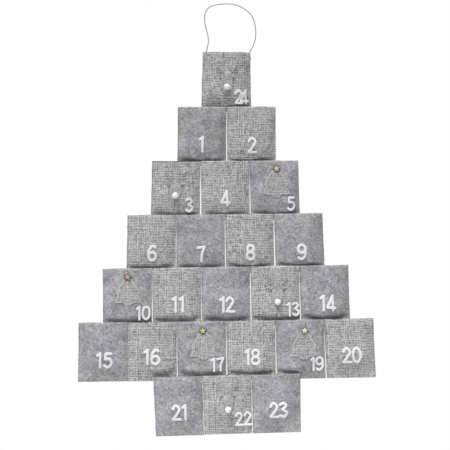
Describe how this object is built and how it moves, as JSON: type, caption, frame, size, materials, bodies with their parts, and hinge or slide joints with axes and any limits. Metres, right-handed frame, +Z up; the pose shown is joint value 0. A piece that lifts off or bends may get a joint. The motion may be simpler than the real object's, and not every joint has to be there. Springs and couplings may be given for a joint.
{
  "type": "advent calendar",
  "caption": "Hanging advent calendar shaped like a fir tree: staggered rows of numbered cloth pouches on a cord loop, each row sewn to the bottoms of the row above.",
  "frame": {"origin": "inside the top of the cord's loop, where the nail or hook holds it", "axes": "+Z up, +X right as seen from the front, +Y towards the wall, so the numbers face -Y"},
  "size_m": [0.598, 0.0283, 0.8705],
  "materials": {
    "twine": "twisted natural twine",
    "felt_grey": "mottled grey felt with a lilac tint",
    "woven_grey": "coarse grey melange weave",
    "numeral_white": "soft white raised numerals",
    "woven_trim": "coarse grey melange weave, cut edges",
    "felt_lilac": "lilac grey felt",
    "star_wood": "light unvarnished wood",
    "pompom_white": "fluffy white yarn"
  },
  "bodies": {
    "hanging_loop_body": {"hanging_cord": "twine"},
    "row_1": {"pouch_24": "woven_grey", "numeral_24": "numeral_white", "reindeer_head_24": "felt_lilac", "cord_end_left": "twine", "cord_end_right": "twine"},
    "row_2": {"pouch_01": "felt_grey", "numeral_01": "numeral_white", "pouch_02": "woven_grey", "numeral_02": "numeral_white"},
    "row_3": {"pouch_03": "woven_grey", "numeral_03": "numeral_white", "reindeer_head_03": "felt_lilac", "pouch_04": "woven_grey", "numeral_04": "numeral_white", "pouch_05": "felt_grey", "numeral_05": "numeral_white", "tree_with_star_05": "woven_trim"},
    "row_4": {"pouch_06": "woven_grey", "numeral_06": "numeral_white", "pouch_07": "felt_grey", "numeral_07": "numeral_white", "pouch_08": "woven_grey", "numeral_08": "numeral_white", "pouch_09": "felt_grey", "numeral_09": "numeral_white"},
    "row_5": {"pouch_10": "felt_grey", "numeral_10": "numeral_white", "tree_with_star_10": "woven_trim", "pouch_11": "woven_grey", "numeral_11": "numeral_white", "pouch_12": "felt_grey", "numeral_12": "numeral_white", "pouch_13": "woven_grey", "numeral_13": "numeral_white", "reindeer_head_13": "felt_lilac", "pouch_14": "felt_grey", "numeral_14": "numeral_white"},
    "row_6": {"pouch_16": "woven_grey", "numeral_16": "numeral_white", "pouch_17": "felt_grey", "numeral_17": "numeral_white", "tree_with_star_17": "woven_trim", "pouch_18": "woven_grey", "numeral_18": "numeral_white", "pouch_19": "felt_grey", "numeral_19": "numeral_white", "tree_with_star_19": "woven_trim"},
    "row_6_left_end": {"pouch_15": "felt_grey", "numeral_15": "numeral_white"},
    "row_6_right_end": {"pouch_20": "woven_grey", "numeral_20": "numeral_white"},
    "row_7_left": {"pouch_21": "felt_grey", "numeral_21": "numeral_white"},
    "row_7_middle": {"pouch_22": "woven_grey", "numeral_22": "numeral_white", "reindeer_head_22": "felt_lilac"},
    "row_7_right": {"pouch_23": "felt_grey", "numeral_23": "numeral_white"}
  },
  "joints": [
    {"name": "loop_swing", "type": "hinge", "parent": "hanging_loop_body", "child": "row_1", "pos_m": [0, -0.0013, -0.0975], "axis": [-1, 0, 0], "range_deg": [0, 45]},
    {"name": "row_2_fold", "type": "hinge", "parent": "row_1", "child": "row_2", "pos_m": [0, -0.0013, -0.2], "axis": [-1, 0, 0], "range_deg": [0, 45]},
    {"name": "row_3_fold", "type": "hinge", "parent": "row_2", "child": "row_3", "pos_m": [0, -0.0013, -0.3085], "axis": [-1, 0, 0], "range_deg": [0, 45]},
    {"name": "row_4_fold", "type": "hinge", "parent": "row_3", "child": "row_4", "pos_m": [0, -0.0013, -0.417], "axis": [-1, 0, 0], "range_deg": [0, 45]},
    {"name": "row_5_fold", "type": "hinge", "parent": "row_4", "child": "row_5", "pos_m": [0, -0.0013, -0.5255], "axis": [-1, 0, 0], "range_deg": [0, 45]},
    {"name": "row_6_fold", "type": "hinge", "parent": "row_5", "child": "row_6", "pos_m": [0, -0.0013, -0.634], "axis": [-1, 0, 0], "range_deg": [0, 45]},
    {"name": "pouch_15_swing", "type": "hinge", "parent": "row_5", "child": "row_6_left_end", "pos_m": [-0.25, -0.0013, -0.634], "axis": [-1, 0, 0], "range_deg": [0, 60]},
    {"name": "pouch_20_swing", "type": "hinge", "parent": "row_5", "child": "row_6_right_end", "pos_m": [0.25, -0.0013, -0.634], "axis": [-1, 0, 0], "range_deg": [0, 60]},
    {"name": "pouch_21_swing", "type": "hinge", "parent": "row_6", "child": "row_7_left", "pos_m": [-0.1, -0.0013, -0.7425], "axis": [-1, 0, 0], "range_deg": [0, 45]},
    {"name": "pouch_22_swing", "type": "hinge", "parent": "row_6", "child": "row_7_middle", "pos_m": [0, -0.0013, -0.7425], "axis": [-1, 0, 0], "range_deg": [0, 45]},
    {"name": "pouch_23_swing", "type": "hinge", "parent": "row_6", "child": "row_7_right", "pos_m": [0.1, -0.0013, -0.7425], "axis": [-1, 0, 0], "range_deg": [0, 45]}
  ]
}
